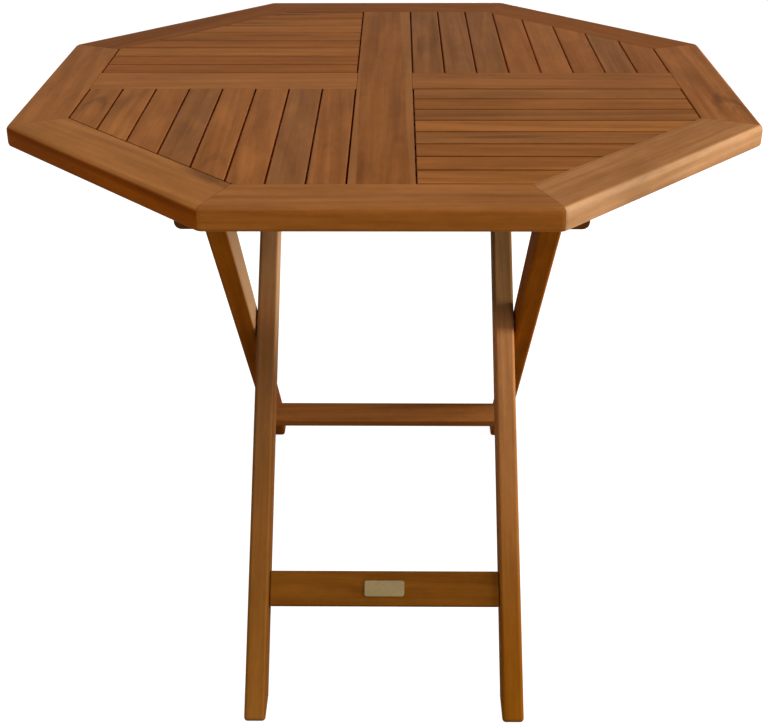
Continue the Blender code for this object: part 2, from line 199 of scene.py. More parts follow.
# The metals: colour, roughness, colour of the tarnish, and how much of it the spots have
METALS = {
    "brass": ((0.55, 0.42, 0.22), 0.36, (0.20, 0.12, 0.05), 0.50),
    "plate": ((0.19, 0.135, 0.065), 0.48, (0.12, 0.085, 0.045), 0.12),
}

# Their scratches and spots, as in PATTERNS but with a place of their own, and what these change
SCRATCHES = ((60.0, 2500.0, 2500.0), 2.0, 0.6, 3.0)
SPOTS = ((260.0, 260.0, 260.0), 3.0, 0.6, 5.0)
SPOT_RANGE = (0.42, 0.72)
SCRATCH_SHADE = 0.30
SCRATCH_ROUGHNESS = 0.18
SPOT_ROUGHNESS = 0.12
METAL_RELIEF = (0.15, 0.0001)

# Radii of the eased edges, in metres
RIM_TOP_EASE = 0.0065
RIM_LOWER_EASE = 0.0050
FLUSH_EASE = 0.0004
SLAT_EASE = 0.0013
CROSS_SLAT_EASE = 0.0021
LEG_EASE = 0.0045
RAIL_EASE = 0.0022
UNDER_EASE = 0.0020
PLATE_EASE = 0.00035
EASE_SEGMENTS = 4

# What counts as a sharp edge, as one point and as one flat face of a solid, how finely faces are
# told apart by their areas, and how much the larger faces lead the shading of the roundings
SHARP_ANGLE = math.radians(40)
MERGE_DISTANCE = 1e-5
FLAT_ANGLE = math.radians(1)
AREA_DIGITS = 6
FACE_WEIGHT = 100

# What counts as level, as facing outwards, and as along, across and nearly across a direction,
# and the height within which points are at a board's top
LEVEL = 0.5
OUTWARD = 0.8
ALONG = 0.99
ACROSS = 0.1
NEARLY_ACROSS = 0.01
HEIGHT_SLACK = 1e-4

# The bolts' holes: how far from a bolt the points of the solid's hole lie, the radius of the hole
# that is cut, and how far it passes a board's side or stops short of an inner leg's
BORE_REACH = 0.006
BORE_RADIUS = 0.0043
BORE_END = 0.005
BORE_SIDES = 32

# The bolts, in metres
SHANK_RADIUS = 0.0039
HEAD_HEIGHT = 0.0035
HEAD_RIM = 0.0012
HEAD_EASE = 0.0007
DOME_FLAT = 0.0034
DOME_STEPS = 6
TURNED_SIDES = 32
SOCKET_RADIUS = 0.0026
SOCKET_DEPTH = 0.0020

# The screws, in metres. The flat and the shoulder of a head, and its recess's length, width and
# depth, are shares of its radius
SCREW_RADIUS = 0.0038
SCREW_PROUD = 0.0004
SCREW_FLAT = 0.45
SCREW_SHOULDER = 0.85
SCREW_RECESS = (1.3, 0.30, 0.5)
SCREW_TURN = math.radians(37)

# Where the screws are, as shares of their board's half length, and how far from its middle line,
# from the underside of the top or from the board's edge, in metres
BATTEN_SCREWS = (-0.88, -0.62, -0.10, 0.10, 0.62, 0.88)
BATTEN_SCREW_STEP = 0.009
CLEAT_SCREWS = (-0.92, -0.30, 0.30, 0.92)
CLEAT_DEPTH = 0.025
CATCH_SCREWS = (-0.85, 0.0, 0.85)
CATCH_SCREW_EDGE = 0.0095

X_AXIS = Vector((1, 0, 0))
Y_AXIS = Vector((0, 1, 0))

# Half of the centre board's width, and the quadrants whose slats run front to back and left to right
CENTRE_HALF = 0.036
LENGTHWISE = ("slat_front_left", "slat_back_right")
CROSSWISE = ("slat_front_right", "slat_back_left")


def add_node(tree, kind, inputs=None, **settings):
    """A shader node. Each input takes a value, or a link from another node's output."""
    node = tree.nodes.new(kind)
    for name, value in settings.items():
        setattr(node, name, value)
    for key, value in (inputs or {}).items():
        if isinstance(value, bpy.types.NodeSocket):
            tree.links.new(value, node.inputs[key])
        else:
            node.inputs[key].default_value = value
    return node


def calculate(tree, operation, first, second=0.0, third=0.0, clamp=False):
    inputs = {0: first, 1: second, 2: third}
    return add_node(tree, "ShaderNodeMath", inputs, operation=operation, use_clamp=clamp).outputs[0]


def remap(tree, value, low, high, to_low=0.0, to_high=1.0):
    """value's place between low and high, eased at both ends and brought to the new range."""
    inputs = {"Value": value, "From Min": low, "From Max": high, "To Min": to_low, "To Max": to_high}
    return add_node(tree, "ShaderNodeMapRange", inputs, interpolation_type="SMOOTHSTEP").outputs["Result"]


def stretched_noise(tree, vector, scale, detail, roughness, offset):
    """Noise whose features are 1/scale metres long on each axis."""
    location = [offset * share for share in OFFSET_SHARES]
    inputs = {"Vector": vector, "Scale": scale, "Location": location}
    placed = add_node(tree, "ShaderNodeMapping", inputs).outputs[0]
    inputs = {"Vector": placed, "Scale": 1.0, "Detail": detail, "Roughness": roughness}
    return add_node(tree, "ShaderNodeTexNoise", inputs).outputs[0]


def line_noise(tree, place):
    """Noise along one number, for growth rings of uneven width."""
    inputs = {"W": place, "Scale": 1.0, "Detail": 1.0, "Roughness": 0.5}
    return add_node(tree, "ShaderNodeTexNoise", inputs, noise_dimensions="1D").outputs[0]


def board_pattern(tree, along, kind, seed):
    """One of the wood's patterns, at the place in it that the seed gives."""
    scale, detail, roughness, share = PATTERNS[kind]
    noise = stretched_noise(tree, along, scale, detail, roughness, seed * share)
    return remap(tree, noise, *PATTERN_RANGES[kind]) if kind in PATTERN_RANGES else noise


def mix_colour(tree, share, first, second, blend="MIX"):
    node = tree.nodes.new("ShaderNodeMix")
    node.data_type = "RGBA"
    node.blend_type = blend
    for socket, value in ((node.inputs[0], share), (node.inputs[6], first), (node.inputs[7], second)):
        if isinstance(value, bpy.types.NodeSocket):
            tree.links.new(value, socket)
        else:
            socket.default_value = value
    return node.outputs[2]


def shaded(tree, colour, value):
    """The colour times a number."""
    grey = add_node(tree, "ShaderNodeCombineColor", {0: value, 1: value, 2: value}).outputs[0]
    return mix_colour(tree, 1.0, colour, grey, "MULTIPLY")


def tint(tree, share, colour, by):
    """The colour, moved by a share towards its product with another."""
    return mix_colour(tree, share, colour, mix_colour(tree, 1.0, colour, (*by, 1), "MULTIPLY"))


def add_relief(tree, shader, height, strength, distance):
    inputs = {"Height": height, "Strength": strength, "Distance": distance}
    tree.links.new(add_node(tree, "ShaderNodeBump", inputs).outputs[0], shader.inputs["Normal"])


def new_material(name):
    """A material, its node tree and its shader."""
    material = bpy.data.materials.new(name)
    material.use_nodes = True
    tree = material.node_tree
    return material, tree, tree.nodes["Principled BSDF"]


def growth_rings(tree, along, axes, look):
    """How dark the wood is from its growth rings, which lie about a pith outside the board."""
    seed = look["seed"]
    warp_side = board_pattern(tree, along, "warp_side", seed)
    warp_deep = board_pattern(tree, along, "warp_deep", seed + WARP_APART)
    side = calculate(tree, "SUBTRACT", axes.outputs["Y"], look["pith_side"])
    side = calculate(tree, "MULTIPLY_ADD", warp_side, look["waviness"], side)
    deep = calculate(tree, "SUBTRACT", axes.outputs["Z"], look["pith_depth"])
    deep = calculate(tree, "MULTIPLY_ADD", warp_deep, look["waviness"], deep)
    squares = calculate(tree, "MULTIPLY", side, side)
    squares = calculate(tree, "MULTIPLY_ADD", deep, deep, squares)
    radius = calculate(tree, "SQRT", squares)
    radius = calculate(tree, "MULTIPLY_ADD", axes.outputs["X"], look["taper"], radius)
    spacing = look["ring_spacing"]
    place = calculate(tree, "MULTIPLY_ADD", radius, 1 / spacing, seed * RING_SEED_SHARE)
    rings = remap(tree, line_noise(tree, place), *RING_RANGE)
    place = calculate(tree, "MULTIPLY_ADD", radius, FINE_RINGS / spacing, seed * FINE_RING_SEED_SHARE)
    fine_rings = remap(tree, line_noise(tree, place), *FINE_RING_RANGE)
    return calculate(tree, "MULTIPLY_ADD", fine_rings, FINE_RING_DEPTH, rings)


def add_figures(tree, along, tone, look, half_length, half_width):
    """Soft dark or pale clouds, and arches, at places listed for a board.

    A figure is (along, across, half length, half width, turn, strength, arch). Its places are
    shares of the board's half length and half width, its half sizes are in metres and its turn
    is in degrees. A pale one has a negative strength.
    """
    if not look["figures"]:
        return tone
    edge = board_pattern(tree, along, "edge", look["seed"])
    edge = calculate(tree, "MULTIPLY_ADD", edge, FIGURE_RAGGED, -FIGURE_RAGGED / 2)
    for place_along, place_across, length, width, turn, strength, arch in look["figures"]:
        inputs = {
            "Vector": along,
            "Location": (place_along * half_length, place_across * half_width, 0),
            "Rotation": (0, 0, math.radians(turn)),
            "Scale": (length, width, 1.0),
        }
        placed = add_node(tree, "ShaderNodeMapping", inputs, vector_type="TEXTURE").outputs[0]
        away = add_node(tree, "ShaderNodeVectorMath", {0: placed}, operation="LENGTH").outputs["Value"]
        away = calculate(tree, "ADD", away, edge)
        if arch:
            away = calculate(tree, "ABSOLUTE", calculate(tree, "SUBTRACT", away, 1.0))
            to_tip = add_node(tree, "ShaderNodeSeparateXYZ", {0: placed}).outputs["X"]
            share = remap(tree, away, *ARCH_RANGE)
            share = calculate(tree, "MULTIPLY", share, remap(tree, to_tip, *TIP_RANGE))
        else:
            share = remap(tree, away, *CLOUD_RANGE)
        kept = calculate(tree, "MULTIPLY_ADD", share, -FIGURE_DEPTH * strength, 1.0)
        tone = calculate(tree, "MULTIPLY", tone, kept)
    return tone


def add_strips(tree, colour, axes, fibre, strips):
    """Strips of sapwood along a board's edges.

    A strip is (side, distance of the board's edge from its middle, width at the front end,
    width at the back end, length).
    """
    for side, edge, start, end, length in strips:
        middle = (start + end) / 2
        width = calculate(tree, "MULTIPLY_ADD", axes.outputs["X"], (end - start) / length, middle)
        from_edge = calculate(tree, "MULTIPLY_ADD", axes.outputs["Y"], -side, edge)
        inside = calculate(tree, "SUBTRACT", width, from_edge)
        inside = calculate(tree, "SUBTRACT", inside, STRIP_RAGGED / 2)
        inside = calculate(tree, "MULTIPLY_ADD", fibre, STRIP_RAGGED, inside)
        share = remap(tree, inside, *STRIP_RANGE, 0.0, STRIP_SHARE)
        colour = mix_colour(tree, share, colour, (*STRIP_COLOUR, 1))
    return colour


def add_right_side_highlight(tree, colour, height, right, amount):
    """Painted highlight on a leg's right side, high up, and painted shade on that side below."""
    right = remap(tree, right, *RIGHT_FACING)
    low = calculate(tree, "MULTIPLY", right, remap(tree, height, RIGHT_HIGHLIGHT_HIGH, RIGHT_HIGHLIGHT_LOW))
    colour = tint(tree, low, colour, LOW_SIDE_PAINTED_SHADE)
    high = remap(tree, height, RIGHT_HIGHLIGHT_LOW, RIGHT_HIGHLIGHT_HIGH, 0.0, amount)
    return mix_colour(tree, calculate(tree, "MULTIPLY", right, high), colour, (*RIGHT_SIDE_HIGHLIGHT, 1))


def paint_gap_shade(tree, colour, coordinates, height, facing, on_rim):
    """Paints shade on the gaps' walls by shifting their colour. A rim board's outer sides keep theirs."""
    inner = 1.0
    if on_rim:
        inputs = {0: coordinates.outputs["Normal"], 1: coordinates.outputs["Object"]}
        outward = add_node(tree, "ShaderNodeVectorMath", inputs, operation="DOT_PRODUCT").outputs["Value"]
        inner = remap(tree, outward, *INWARD_FACING)
    inner = calculate(tree, "MULTIPLY", remap(tree, facing.outputs["Z"], *GAP_WALL), inner)
    depth = calculate(tree, "SUBTRACT", CAD_BOX[1].z, height)
    inner = calculate(tree, "MULTIPLY", remap(tree, depth, *GAP_FLOOR_DEPTHS), inner)
    sideways = remap(tree, calculate(tree, "ABSOLUTE", facing.outputs["X"]), *SIDEWAYS_FACING)
    shifted = []
    for by, depths in ((FRONTAL_GAP_SHADE, FRONTAL_GAP_DEPTHS), (SIDEWAYS_GAP_SHADE, SIDEWAYS_GAP_DEPTHS)):
        share = calculate(tree, "MULTIPLY", remap(tree, depth, *depths), inner)
        shifted.append(tint(tree, share, colour, by))
    return mix_colour(tree, sideways, *shifted)


def add_painted_light_and_damp(tree, colour, coordinates, axes, look):
    """Paints light and shade on the sides, in the gaps, on the legs' upper parts and right sides, and
    towards the feet, where it is partly damp.
    """
    height = add_node(tree, "ShaderNodeSeparateXYZ", {0: coordinates.outputs["Object"]}).outputs["Z"]
    facing = add_node(tree, "ShaderNodeSeparateXYZ", {0: coordinates.outputs["Normal"]})
    up = facing.outputs["Z"]
    # Painted light and shade on the boards' sides
    side = calculate(tree, "MULTIPLY", remap(tree, up, *look["side_facing"]), remap(tree, up, *NOT_DOWN))
    colour = tint(tree, side, colour, look["painted_side_light"])
    # A band of painted light and shade along some rim boards' upper edges
    if look["painted_edge_light"]:
        low, high, band_tint = look["painted_edge_light"]
        band = calculate(tree, "MULTIPLY", remap(tree, axes.outputs["Z"], low, high), side)
        colour = tint(tree, band, colour, band_tint)
    # Painted light and shade on the inner legs' upper parts
    if look["high"]:
        colour = tint(tree, remap(tree, height, *HIGH_PAINTED_LIGHT_HEIGHTS), colour, look["high"])
    # Painted highlight high on the left legs' right sides, with painted shade below it
    if look["right_side_highlight"]:
        colour = add_right_side_highlight(tree, colour, height, facing.outputs["X"], look["right_side_highlight"])
    # Painted shade in the gaps between the boards
    if look["gaps"]:
        colour = paint_gap_shade(tree, colour, coordinates, height, facing, look["rim"])
    # A tint towards the feet: partly damp, and partly painted light and shade
    if look["damp_and_shade"]:
        colour = tint(tree, remap(tree, height, *DAMP_AND_SHADE_HEIGHTS), colour, look["damp_and_shade"])
    return colour


def teak_material(name, look, middle, turn, grain, half_length, half_width):
    """Oiled teak cut from its own place in a log: growth rings about a pith, fibres and pores."""
    material, tree, shader = new_material(name)
    coordinates = add_node(tree, "ShaderNodeTexCoord")
    inputs = {"Vector": coordinates.outputs["Object"], "Location": middle, "Rotation": turn.to_euler()}
    along = add_node(tree, "ShaderNodeMapping", inputs, vector_type="TEXTURE").outputs[0]
    axes = add_node(tree, "ShaderNodeSeparateXYZ", {0: along})
    kinds = ("fibre", "pores", "cloud", "blotch", "line", "streak", "haze")
    pattern = {kind: board_pattern(tree, along, kind, look["seed"]) for kind in kinds}

    depth = calculate(tree, "MULTIPLY", growth_rings(tree, along, axes, look), look["contrast"])
    depth = calculate(tree, "MULTIPLY_ADD", pattern["streak"], look["streaks"], depth)
    depth = calculate(tree, "MULTIPLY_ADD", pattern["haze"], look["haze"], depth)
    depth = calculate(tree, "MULTIPLY_ADD", pattern["pores"], PORE_DEPTH, depth, clamp=True)
    latewood = [pale * share for pale, share in zip(look["pale"], LATEWOOD)]
    colour = mix_colour(tree, depth, (*look["pale"], 1.0), (*latewood, 1.0))
    amounts = {
        "cloud": look["mottle"],
        "blotch": BLOTCH_AMOUNT,
        "line": look["lines"],
        "fibre": FIBRE_AMOUNT,
    }
    tone = 1.0
    for kind, amount in amounts.items():
        change = calculate(tree, "MULTIPLY_ADD", pattern[kind], amount, -amount / 2)
        tone = calculate(tree, "ADD", tone, change)
    tone = add_figures(tree, along, tone, look, half_length, half_width)
    colour = shaded(tree, colour, tone)
    colour = add_strips(tree, colour, axes, pattern["fibre"], look["strips"])
    colour = add_painted_light_and_damp(tree, colour, coordinates, axes, look)
    inputs = {0: coordinates.outputs["Normal"], 1: grain}
    end = add_node(tree, "ShaderNodeVectorMath", inputs, operation="DOT_PRODUCT").outputs["Value"]
    end = remap(tree, calculate(tree, "ABSOLUTE", end), *END_FACING)
    tree.links.new(tint(tree, end, colour, END_GRAIN_TINT), shader.inputs["Base Color"])

    rough = calculate(tree, "MULTIPLY_ADD", pattern["fibre"], FIBRE_ROUGHNESS, ROUGHNESS)
    rough = calculate(tree, "MULTIPLY_ADD", end, END_ROUGHNESS, rough)
    tree.links.new(rough, shader.inputs["Roughness"])
    shader.inputs["Specular IOR Level"].default_value = look["gloss"]
    height = calculate(tree, "MULTIPLY_ADD", pattern["pores"], PORE_HEIGHT, pattern["fibre"])
    add_relief(tree, shader, height, *WOOD_RELIEF)
    return material


def add_object(name, bm):
    """An object with the mesh that was made, which is freed."""
    mesh = bpy.data.meshes.new(name)
    bm.to_mesh(mesh)
    bm.free()
    obj = bpy.data.objects.new(name, mesh)
    bpy.context.scene.collection.objects.link(obj)
    return obj


def remove_object(obj):
    mesh = obj.data
    bpy.data.objects.remove(obj)
    bpy.data.meshes.remove(mesh)


def add_boolean(obj, cutter):
    cut = obj.modifiers.new("cut", "BOOLEAN")
    cut.operation = "DIFFERENCE"
    cut.object = cutter


def bolt_axes(node):
    """The (y, z) of each bolt that a board is bored for."""
    bolts = []
    if "_leg_" in node:
        bolts.append("cross_bolt_left")
    if node.startswith(("outer_leg", "hinge_cleat")):
        bolts.append("hinge_bolt_left")
    middles = [sum(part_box(bolt), Vector()) / 2 for bolt in bolts]
    return [(middle.y, middle.z) for middle in middles]


def fill_bores(bm, axes):
    """Closes the bolts' holes, which would spoil the rounding of the edges near them."""
    def in_bore(vert):
        return any(math.hypot(vert.co.y - y, vert.co.z - z) < BORE_REACH for y, z in axes)

    walls = [face for face in bm.faces if all(in_bore(vert) for vert in face.verts)]
    bmesh.ops.delete(bm, geom=walls, context="FACES")
    bmesh.ops.holes_fill(bm, edges=[edge for edge in bm.edges if edge.is_boundary], sides=0)


def whole_faces(node):
    """The node's mesh with its points merged, its holes closed and its flat faces whole."""
    data = frame["nodes"][node].data
    mesh = bpy.data.meshes.new("draft")
    mesh.from_pydata([v.co for v in data.vertices], [], [tuple(p.vertices) for p in data.polygons])
    bm = bmesh.new()
    bm.from_mesh(mesh)
    bpy.data.meshes.remove(mesh)
    bmesh.ops.remove_doubles(bm, verts=bm.verts, dist=MERGE_DISTANCE)
    fill_bores(bm, bolt_axes(node))
    bmesh.ops.dissolve_limit(bm, angle_limit=FLAT_ANGLE, verts=bm.verts, edges=bm.edges)
    bmesh.ops.recalc_face_normals(bm, faces=bm.faces)
    bm.normal_update()
    return bm


def grain_of(node, bm):
    """The way a board's grain runs: along its longest edge, or a slat's quadrant says it."""
    if node.startswith(LENGTHWISE):
        return Y_AXIS
    if node.startswith(CROSSWISE) or node == "inner_top_bar":
        return X_AXIS
    longest = max(bm.edges, key=lambda edge: edge.calc_length())
    way = (longest.verts[1].co - longest.verts[0].co).normalized()
    backwards = way.y < 0 if abs(way.x) < NEARLY_ACROSS else way.x < 0
    return -way if backwards else way


def board_turn(bm, grain):
    """The rotation whose X runs along the grain and whose Z leaves the board's widest face."""
    sides = [f for f in bm.faces if abs(f.normal.dot(grain)) < ACROSS]
    face = max(sides, key=lambda f: (round(f.calc_area(), AREA_DIGITS), f.normal.z))
    up = (face.normal - grain * face.normal.dot(grain)).normalized()
    if up.z < 0:
        up = -up
    return Matrix((grain, up.cross(grain), up)).transposed()


def board_span(bm, turn):
    """The board's middle, and half of its length along the grain and of its width."""
    places = [turn.transposed() @ vert.co for vert in bm.verts]
    low = Vector(min(p[i] for p in places) for i in range(3))
    high = Vector(max(p[i] for p in places) for i in range(3))
    half = (high - low) / 2
    return turn @ ((low + high) / 2), half.x, half.y


def ease_radius(node, grain):
    """A function that gives the radius of one edge's rounding."""
    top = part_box(node)[1].z - HEIGHT_SLACK

    def rim(edge):
        outward = (edge.verts[0].co + edge.verts[1].co) / 2
        outward = Vector((outward.x, outward.y, 0)).normalized()
        facing = [face.normal.dot(outward) for face in edge.link_faces]
        level = [abs(face.normal.z) for face in edge.link_faces]
        if max(level) < LEVEL or min(level) > LEVEL:
            return 0.0
        on_top = edge.verts[0].co.z > top
        if max(facing) > OUTWARD:
            return RIM_TOP_EASE if on_top else RIM_LOWER_EASE
        return FLUSH_EASE if on_top and min(facing) < -OUTWARD else 0.0

    def slat(edge):
        if min(v.co.z for v in edge.verts) < top:
            return 0.0
        way = (edge.verts[1].co - edge.verts[0].co).normalized()
        lengthwise = SLAT_EASE if node.startswith(LENGTHWISE) else CROSS_SLAT_EASE
        return lengthwise if abs(way.dot(grain)) > ALONG else FLUSH_EASE

    def board(edge):
        return FLUSH_EASE if min(v.co.z for v in edge.verts) > top else 0.0

    if node.startswith("rim_"):
        return rim
    if node.startswith("slat_"):
        return slat
    if node in ("centre_board", "cross_rail_left", "cross_rail_right"):
        return board
    if "_leg_" in node:
        return lambda edge: LEG_EASE
    if node in ("inner_rail", "outer_stretcher"):
        return lambda edge: RAIL_EASE
    return lambda edge: UNDER_EASE


def add_ease(bm, radius_of):
    """Marks each sharp edge with its share of the widest rounding, and returns that rounding."""
    layer = bm.edges.layers.float.new("bevel_weight_edge")
    radii = {}
    for edge in bm.edges:
        if len(edge.link_faces) == 2 and edge.calc_face_angle(0.0) > SHARP_ANGLE:
            radii[edge] = radius_of(edge)
            edge.smooth = radii[edge] > 0
    widest = max(radii.values(), default=0.0)
    for edge, radius in radii.items():
        edge[layer] = radius / widest if widest else 0.0
    return widest


def add_bore_cutter(node, y, z):
    """A helper that cuts a bolt's hole, which ends inside an inner leg. It is removed once it has cut."""
    low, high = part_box(node)
    start, stop = low.x - BORE_END, high.x + BORE_END
    if node == "inner_leg_left":
        stop = high.x - BORE_END
    elif node == "inner_leg_right":
        start = low.x + BORE_END
    bm = bmesh.new()
    turn = Matrix.Translation(((start + stop) / 2, y, z)) @ Matrix.Rotation(math.pi / 2, 4, "Y")
    bmesh.ops.create_cone(bm, cap_ends=True, segments=BORE_SIDES, radius1=BORE_RADIUS,
                          radius2=BORE_RADIUS, depth=stop - start, matrix=turn)
    return add_object("bore_cutter", bm)


def apply_modifiers(obj):
    graph = bpy.context.evaluated_depsgraph_get()
    final = bpy.data.meshes.new_from_object(obj.evaluated_get(graph))
    draft = obj.data
    obj.modifiers.clear()
    obj.data = final
    bpy.data.meshes.remove(draft)
    final.name = obj.name


def add_board(node, body):
    """A board with eased edges and a teak of its own, in place of its plain solid."""
    bm = whole_faces(node)
    grain = grain_of(node, bm)
    turn = board_turn(bm, grain)
    middle, half_length, half_width = board_span(bm, turn)
    widest = add_ease(bm, ease_radius(node, grain))
    for face in bm.faces:
        face.smooth = True
    wood = add_object(f"{node}_wood", bm)
    material = teak_material(f"{node}_teak", board_look(node), middle, turn, grain, half_length, half_width)
    wood.data.materials.append(material)
    bevel = wood.modifiers.new("ease", "BEVEL")
    bevel.limit_method = "WEIGHT"
    bevel.width = widest
    bevel.segments = EASE_SEGMENTS
    bevel.use_clamp_overlap = False
    cutters = [add_bore_cutter(node, *axis) for axis in bolt_axes(node)]
    for cutter in cutters:
        add_boolean(wood, cutter)
    even = wood.modifiers.new("even_shading", "WEIGHTED_NORMAL")
    even.keep_sharp = True
    even.weight = FACE_WEIGHT
    apply_modifiers(wood)
    for cutter in cutters:
        remove_object(cutter)
    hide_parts(node)
    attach(wood, body)


# Teak tones as linear colours of the pale wood between the growth rings, those that the other
# slats draw from, and the tint of the slats that run left to right and of the back rim boards
TONES = {
    "honey": (0.325, 0.123, 0.034),
    "warm": (0.295, 0.108, 0.029),
    "brown": (0.262, 0.096, 0.026),
    "grey": (0.252, 0.099, 0.031),
    "russet": (0.275, 0.096, 0.024),
    "umber": (0.220, 0.072, 0.014),
    "chestnut": (0.250, 0.088, 0.021),
    "amber": (0.181, 0.064, 0.008),
    "ochre": (0.282, 0.088, 0.008),
    "gold": (0.352, 0.140, 0.039),
    "dusk": (0.240, 0.108, 0.042),
    "straw": (0.545, 0.243, 0.092),
    "blond": (0.360, 0.158, 0.056),
    # A dark tone that is painted shade, for the battens in the shade under the top
    "shade": (0.120, 0.045, 0.012),
}
SLAT_TONES = ("honey", "warm", "brown", "grey", "russet", "warm", "honey")
BACK_SLAT_TONES = ("brown", "grey", "brown", "russet", "chestnut", "grey", "warm")
CROSS_TINT = (1.0, 0.96, 0.80)

# The tones of boards whose colour stands out in the photograph. Some also hold painted light: the
# front right rim board's pale tone is a painted reflection of the light from the right, the inner
# legs' tones, brighter on the right, are partly painted light falling from the right, and the
# battens' dark tone is painted shade under the top
BOARD_TONES = {
    "rim_front": "honey",
    "rim_front_left": "gold",
    "rim_front_right": "blond",
    "rim_left": "honey",
    "rim_right": "warm",
    "rim_back": "umber",
    "rim_back_left": "umber",
    "rim_back_right": "umber",
    "centre_board": "chestnut",
    "cross_rail_left": "honey",
    "cross_rail_right": "warm",
    "inner_leg_left": "dusk",
    "inner_leg_right": "straw",
    "outer_leg_left": "ochre",
    "outer_leg_right": "ochre",
    "outer_stretcher": "warm",
    "inner_rail": "amber",
    "batten_front": "shade",
    "batten_back": "shade",
    "slat_front_left_1": "warm",
    "slat_front_left_2": "grey",
    "slat_front_left_3": "warm",
    "slat_front_left_4": "warm",
    "slat_front_left_5": "grey",
    "slat_front_left_6": "warm",
    "slat_front_left_7": "honey",
    "slat_front_left_8": "honey",
}

# Painted light and shade: how a board's sides differ from its upper face, darker and warmer on most
# boards and lighter on the front right rim board, where the light from the right falls
SIDE_PAINTED_LIGHT = (1.0, 0.92, 0.60)
SIDE_PAINTED_LIGHTS = {
    "rim_front": (0.86, 0.75, 0.42),
    "rim_front_left": (0.80, 0.48, 0.06),
    "rim_front_right": (1.05, 1.24, 1.60),
    "inner_leg_left": (1.0, 1.0, 1.0),
    "inner_leg_right": (1.0, 1.0, 1.0),
}

# The upward parts of the normal between which a rounded edge takes on the side's painted light
SIDE_FACING = (0.85, 0.30)
SIDE_FACINGS = {"rim_front_right": (0.999, 0.80)}

# How the legs' colour shifts towards the floor: partly damp, and partly painted light and shade, as
# the light falls differently on each leg
DAMP_AND_SHADE_TINTS = {
    "inner_leg_left": (1.10, 0.95, 0.42),
    "inner_leg_right": (0.40, 0.30, 0.055),
    "outer_leg_left": (0.90, 0.85, 0.60),
    "outer_leg_right": (0.90, 0.85, 0.60),
}

# Painted light and shade on the inner legs' upper parts: lighter on the left leg, and darker on the
# right one, which stands in the shade above the crossing
HIGH_PAINTED_LIGHTS = {
    "inner_leg_left": (1.42, 1.52, 1.56),
    "inner_leg_right": (0.44, 0.50, 0.50),
}

# How strong the painted highlight on the left legs' right sides is, high up
RIGHT_SIDE_HIGHLIGHTS = {"inner_leg_left": 0.75, "outer_leg_left": 0.88}

# A band of painted light along a rim board's upper rounded edge, a painted highlight on the front
# right board and painted shade on the front left one: the heights above the board's middle at which
# it begins and is full, and its tint
EDGE_PAINTED_LIGHTS = {
    "rim_front_left": (0.001, 0.009, (0.62, 0.58, 0.55)),
    "rim_front_right": (0.003, 0.010, (1.16, 1.24, 1.34)),
}

# Clouds and arches that show in the photograph, as add_figures takes them
FIGURES = {
    "slat_front_left_1": (
        (0.55, -0.5, 0.050, 0.016, 0, 0.22, False),
        (-0.3, 0.2, 0.012, 0.008, 0, 0.2, False),
        (-0.55, 0.1, 0.060, 0.012, 0, -0.25, False),
    ),
    "slat_front_left_2": (
        (-0.35, -0.1, 0.090, 0.018, 8, 0.22, False),
        (0.35, 0.8, 0.080, 0.009, -6, -0.4, False),
    ),
    "slat_front_left_3": (
        (0.20, 0.1, 0.090, 0.010, -12, 0.26, False),
        (-0.6, 0.0, 0.070, 0.020, 0, -0.5, False),
    ),
    "slat_front_left_4": (
        (-0.85, -0.2, 0.050, 0.013, 0, 0.4, True),
        (0.3, 0.3, 0.060, 0.012, 10, -0.35, False),
    ),
    "slat_front_left_5": (
        (-0.2, 0.3, 0.060, 0.014, 10, 0.22, False),
        (0.5, -0.3, 0.050, 0.014, -10, 0.16, False),
        (0.0, -0.4, 0.030, 0.010, 20, -0.35, False),
    ),
    "slat_front_left_6": (
        (0.4, 0.4, 0.050, 0.014, 15, 0.2, False),
        (-0.3, -0.2, 0.050, 0.012, 0, -0.4, False),
    ),
    "slat_front_left_7": (
        (0.35, 0.55, 0.080, 0.013, -14, 0.5, False),
        (-0.5, -0.2, 0.060, 0.014, 5, -0.45, False),
    ),
    "slat_front_left_8": (
        (-0.3, 0.0, 0.060, 0.016, 0, 0.6, True),
        (-0.2, -0.1, 0.030, 0.010, 0, -0.3, False),
    ),
    "rim_front_left": (
        (0.66, 0.88, 0.055, 0.012, -5, 1.1, False),
        (-0.2, 0.6, 0.090, 0.008, 4, 0.35, False),
    ),
    "rim_front": (
        (-0.55, -0.1, 0.150, 0.006, 1, 0.5, False),
        (0.4, 0.1, 0.120, 0.007, -2, 0.45, False),
    ),
    "rim_right": (
        (-0.80, -0.40, 0.075, 0.017, 4, 0.75, True),
        (-0.85, -0.55, 0.040, 0.009, 0, 0.35, True),
        (0.15, 0.2, 0.060, 0.020, 0, 0.2, False),
    ),
    "centre_board": (
        (-0.35, -0.35, 0.120, 0.010, 2, 0.35, False),
        (-0.62, -0.45, 0.020, 0.008, 0, 0.35, False),
    ),
    "slat_back_left_8": (
        (-0.55, 0.2, 0.075, 0.005, 2, 1.2, False),
    ),
    "slat_back_left_7": (
        (-0.65, -0.3, 0.060, 0.004, 0, 1.0, False),
    ),
    "slat_back_left_5": (
        (0.10, 0.3, 0.080, 0.004, 0, 0.9, False),
    ),
    "slat_front_right_5": (
        (-0.30, 0.1, 0.070, 0.006, 2, 0.8, False),
        (0.5, 0.3, 0.050, 0.005, 0, -0.4, False),
    ),
    "slat_front_right_2": (
        (0.0, 0.2, 0.050, 0.006, 0, -0.5, False),
    ),
    "slat_front_right_4": (
        (0.35, -0.3, 0.080, 0.004, 0, 0.6, False),
    ),
    "rim_front_right": (
        (0.25, -0.85, 0.120, 0.005, 2, 0.35, False),
        (-0.4, -0.9, 0.070, 0.004, 0, 0.4, False),
    ),
}


